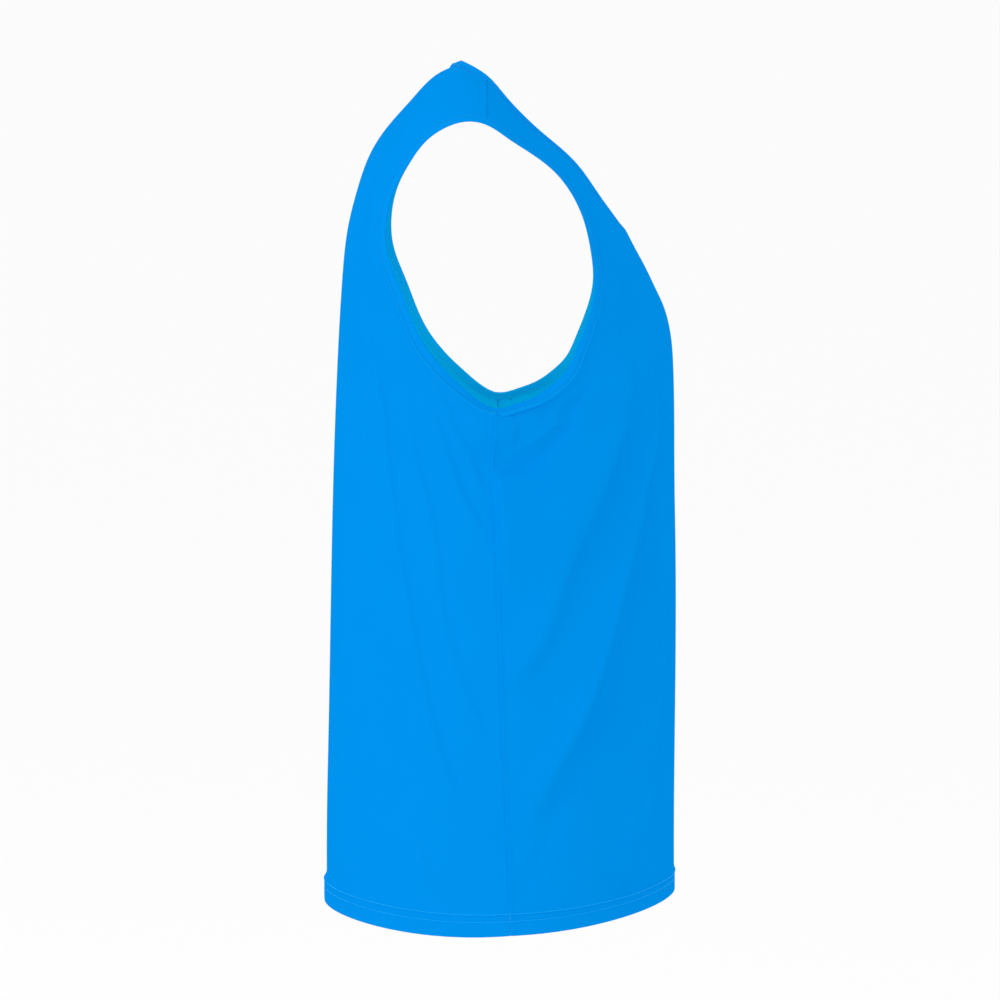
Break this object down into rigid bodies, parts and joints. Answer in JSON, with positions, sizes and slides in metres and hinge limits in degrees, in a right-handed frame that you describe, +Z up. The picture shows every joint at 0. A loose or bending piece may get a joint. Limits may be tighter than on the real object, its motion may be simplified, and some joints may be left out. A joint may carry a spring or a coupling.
{
  "type": "sleeveless sports bib",
  "caption": "Loose sleeveless V-neck training vest in smooth knit, hollow and filled out as if worn, with folded neck and armhole bands and a turned-up hem.",
  "frame": {"origin": "midway between the two shoulder seams, level with the middle of the straps, where the wearer's shoulders carry the cloth", "axes": "+Z up along the body, -Y to the front of the garment, +X to the wearer's left"},
  "size_m": [0.4256, 0.3168, 0.7683],
  "materials": {
    "front_panel_cloth": "smooth matt knit",
    "back_panel_cloth": "smooth matt knit",
    "neck_band_cloth": "folded matt knit, topstitched",
    "armhole_band_left_cloth": "folded matt knit, topstitched",
    "armhole_band_right_cloth": "folded matt knit, topstitched"
  },
  "bodies": {
    "root": {"front_panel": "front_panel_cloth", "back_panel": "back_panel_cloth", "neck_band": "neck_band_cloth", "armhole_band_left": "armhole_band_left_cloth", "armhole_band_right": "armhole_band_right_cloth"}
  },
  "joints": []
}
